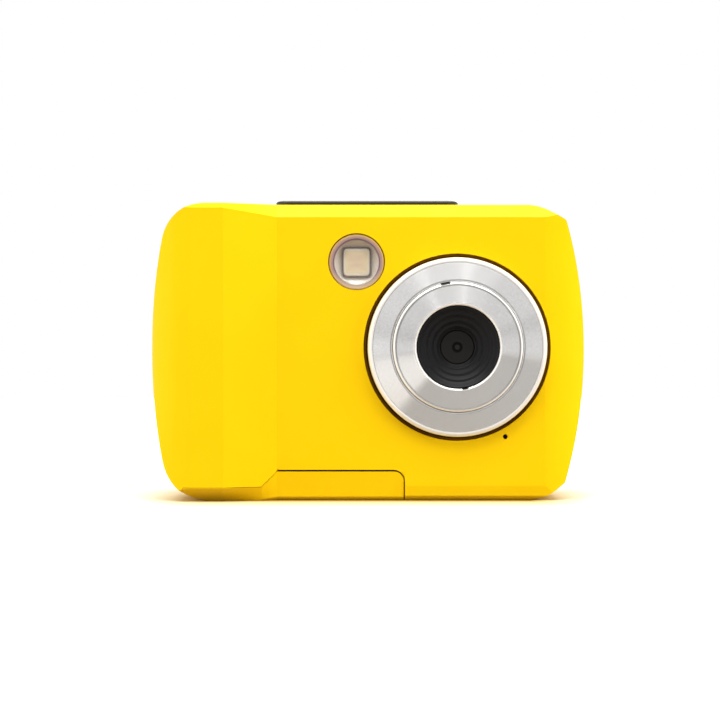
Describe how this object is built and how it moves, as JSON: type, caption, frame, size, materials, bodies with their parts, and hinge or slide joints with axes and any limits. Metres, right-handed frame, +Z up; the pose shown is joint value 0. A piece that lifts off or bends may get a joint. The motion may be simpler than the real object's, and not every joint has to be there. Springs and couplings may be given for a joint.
{
  "type": "waterproof digital camera",
  "caption": "Pocket waterproof camera: yellow shell with raised grip, silver lens ring, round flash, black top strip, rear display and keys, and a hinged battery door.",
  "frame": {"origin": "under the middle of the camera, on the surface it stands on", "axes": "+X to the right as seen from the front, -Y the way the lens looks, +Z up"},
  "size_m": [0.0948, 0.0254, 0.0658],
  "materials": {
    "yellow_case": "smooth moulded, slight gloss",
    "black_trim": "fine matt moulded",
    "black_gloss": "polished",
    "silver_ring": "turned and satin",
    "clear_window": "clear moulded",
    "lens_glass": "polished",
    "flash_cup": "smoked",
    "flash_cream": "milky",
    "circuit_board": "solder mask",
    "grey_key": "satin moulded",
    "rubber_black": "soft",
    "rubber_grey": "soft",
    "steel": "drawn",
    "brass": "turned",
    "cell_label": "printed sleeve",
    "display_glass": "polished black",
    "chip": "matt"
  },
  "bodies": {
    "root": {"front_shell": "yellow_case", "back_shell": "yellow_case", "lens_seat": "black_trim", "lens_ring_outer": "silver_ring", "lens_ring_inner": "silver_ring", "lens_hood": "black_trim", "lens_window": "lens_glass", "lens_barrel": "black_trim", "lens_element": "lens_glass", "image_sensor": "chip", "flash_window": "clear_window", "flash_housing": "flash_cup", "flash_lamp": "flash_cream", "microphone": "rubber_black", "main_board": "circuit_board", "buzzer": "black_trim", "top_panel": "black_gloss", "top_board": "circuit_board", "hinge_pin": "steel", "battery_1": "cell_label", "battery_2": "cell_label", "battery_holder": "black_trim", "usb_socket": "steel", "card_socket": "steel", "upper_contact": "steel", "tripod_bush": "brass", "strap_bar": "steel", "display_window": "display_glass", "display_module": "chip", "key_membrane": "rubber_grey", "status_light": "clear_window", "case_screws": "steel", "body_seal": "rubber_black"},
    "door": {"bottom_door": "yellow_case", "door_gasket": "rubber_grey", "door_contact": "steel"},
    "latch": {"door_latch": "black_trim"},
    "shutter_press": {"shutter_button": "grey_key"},
    "power_press": {"power_button": "grey_key"},
    "zoom_wide_press": {"zoom_wide_key": "grey_key"},
    "zoom_tele_press": {"zoom_tele_key": "grey_key"},
    "mode_press": {"mode_key": "grey_key"},
    "playback_press": {"playback_key": "grey_key"},
    "menu_press": {"menu_key": "grey_key"},
    "delete_press": {"delete_key": "grey_key"},
    "ok_press": {"ok_key": "grey_key"},
    "up_press": {"up_key": "grey_key"},
    "right_press": {"right_key": "grey_key"},
    "down_press": {"down_key": "grey_key"},
    "left_press": {"left_key": "grey_key"}
  },
  "joints": [
    {"name": "door_hinge", "type": "hinge", "parent": "root", "child": "door", "pos_m": [-0.01525, 0.0073, 0.0016], "axis": [1, 0, 0], "range_deg": [0, 95]},
    {"name": "latch_slide", "type": "slide", "parent": "door", "child": "latch", "axis": [1, 0, 0], "range_m": [0, 0.0025]},
    {"name": "shutter_travel", "type": "slide", "parent": "root", "child": "shutter_press", "axis": [0, 0, -1], "range_m": [0, 0.0006], "stiffness_N_per_m": 3000},
    {"name": "power_travel", "type": "slide", "parent": "root", "child": "power_press", "axis": [0, 0, -1], "range_m": [0, 0.0006], "stiffness_N_per_m": 3000},
    {"name": "zoom_wide_travel", "type": "slide", "parent": "root", "child": "zoom_wide_press", "axis": [0, -1, 0], "range_m": [0, 0.0006], "stiffness_N_per_m": 3000},
    {"name": "zoom_tele_travel", "type": "slide", "parent": "root", "child": "zoom_tele_press", "axis": [0, -1, 0], "range_m": [0, 0.0006], "stiffness_N_per_m": 3000},
    {"name": "mode_travel", "type": "slide", "parent": "root", "child": "mode_press", "axis": [0, -1, 0], "range_m": [0, 0.0006], "stiffness_N_per_m": 3000},
    {"name": "playback_travel", "type": "slide", "parent": "root", "child": "playback_press", "axis": [0, -1, 0], "range_m": [0, 0.0006], "stiffness_N_per_m": 3000},
    {"name": "menu_travel", "type": "slide", "parent": "root", "child": "menu_press", "axis": [0, -1, 0], "range_m": [0, 0.0006], "stiffness_N_per_m": 3000},
    {"name": "delete_travel", "type": "slide", "parent": "root", "child": "delete_press", "axis": [0, -1, 0], "range_m": [0, 0.0006], "stiffness_N_per_m": 3000},
    {"name": "ok_travel", "type": "slide", "parent": "root", "child": "ok_press", "axis": [0, -1, 0], "range_m": [0, 0.0006], "stiffness_N_per_m": 3000},
    {"name": "up_travel", "type": "slide", "parent": "root", "child": "up_press", "axis": [0, -1, 0], "range_m": [0, 0.0006], "stiffness_N_per_m": 3000},
    {"name": "right_travel", "type": "slide", "parent": "root", "child": "right_press", "axis": [0, -1, 0], "range_m": [0, 0.0006], "stiffness_N_per_m": 3000},
    {"name": "down_travel", "type": "slide", "parent": "root", "child": "down_press", "axis": [0, -1, 0], "range_m": [0, 0.0006], "stiffness_N_per_m": 3000},
    {"name": "left_travel", "type": "slide", "parent": "root", "child": "left_press", "axis": [0, -1, 0], "range_m": [0, 0.0006], "stiffness_N_per_m": 3000}
  ]
}
